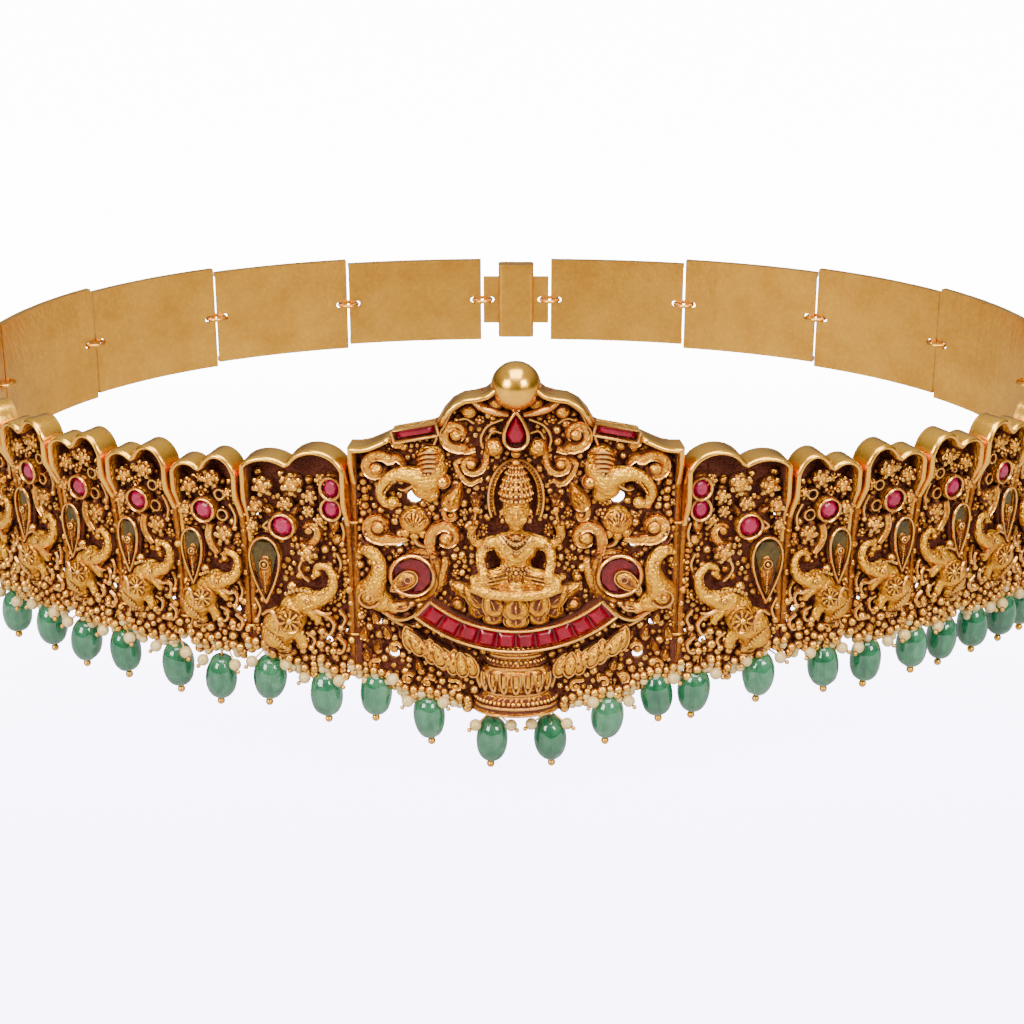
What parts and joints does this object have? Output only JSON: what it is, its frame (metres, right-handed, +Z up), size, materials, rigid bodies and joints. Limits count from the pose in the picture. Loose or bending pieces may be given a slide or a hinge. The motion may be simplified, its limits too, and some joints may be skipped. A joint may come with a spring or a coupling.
{
  "type": "ornamental waist belt",
  "caption": "Temple-style gold waist belt of jewelled link plates around a centre plaque with a seated figure, fringed with emerald beads.",
  "frame": {"origin": "centre of the waist opening, at the belt's middle height", "axes": "+Z up, the front of the belt towards -Y, +X to the right as seen from the front"},
  "size_m": [0.2754, 0.2143, 0.0917],
  "materials": {
    "gold": "antique gold, polished on the high places, with dark maroon patina in the recesses",
    "ruby": "cut and polished, crimson to magenta",
    "emerald": "polished drilled beads, translucent green",
    "pearl": "lustrous cream pearl",
    "olive_enamel": "translucent olive enamel",
    "maroon_enamel": "translucent maroon enamel"
  },
  "bodies": {
    "root": {"centre_plaque": "gold", "link_left_1": "gold", "link_left_2": "gold", "link_left_3": "gold", "link_left_4": "gold", "link_left_5": "gold", "link_left_6": "gold", "link_right_1": "gold", "link_right_2": "gold", "link_right_3": "gold", "link_right_4": "gold", "link_right_5": "gold", "link_right_6": "gold", "back_links_left": "gold", "back_links_right": "gold", "clasp": "gold", "link_rings": "gold", "arc_rubies": "ruby", "crest_ruby": "ruby", "shoulder_rubies": "ruby", "strap_rubies": "ruby", "link_rubies": "ruby", "feather_enamels": "olive_enamel", "peacock_enamels": "maroon_enamel", "emerald_left_1": "emerald", "emerald_left_2": "emerald", "emerald_left_3": "emerald", "emerald_left_4": "emerald", "emerald_left_5": "emerald", "emerald_left_6": "emerald", "emerald_left_7": "emerald", "emerald_left_8": "emerald", "emerald_left_9": "emerald", "emerald_left_10": "emerald", "emerald_left_11": "emerald", "emerald_right_1": "emerald", "emerald_right_2": "emerald", "emerald_right_3": "emerald", "emerald_right_4": "emerald", "emerald_right_5": "emerald", "emerald_right_6": "emerald", "emerald_right_7": "emerald", "emerald_right_8": "emerald", "emerald_right_9": "emerald", "emerald_right_10": "emerald", "emerald_right_11": "emerald", "emerald_right_12": "emerald", "emerald_pins": "gold", "pearls": "pearl", "pearl_pins": "gold"}
  },
  "joints": []
}
